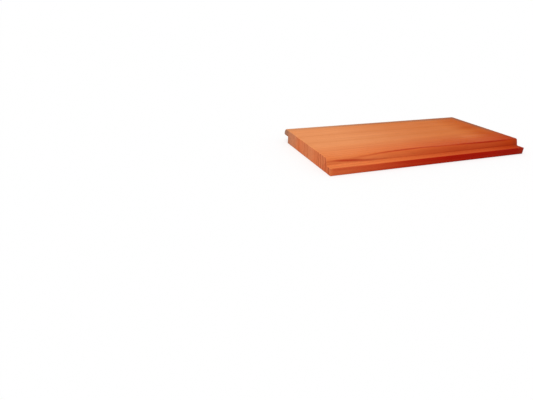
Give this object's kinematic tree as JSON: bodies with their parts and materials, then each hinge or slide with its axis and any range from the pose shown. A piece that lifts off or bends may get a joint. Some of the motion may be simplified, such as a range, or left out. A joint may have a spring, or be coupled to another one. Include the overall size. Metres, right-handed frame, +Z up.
{
  "type": "bevelled shiplap siding board",
  "caption": "Short softwood siding board, weather face up, with a thin lip below a bevelled shoulder along one edge and a rounded, rebated overlap along the other.",
  "frame": {"origin": "middle of the back face, on the surface that the board lies on", "axes": "+X along the grain, +Y across the width towards the rounded overlap, +Z up from the back face to the weather face"},
  "size_m": [0.304, 0.143, 0.018],
  "materials": {
    "softwood": "planed weather face, moulded edges and sawn ends, unpainted"
  },
  "bodies": {
    "root": {"siding_board": "softwood"}
  },
  "joints": []
}
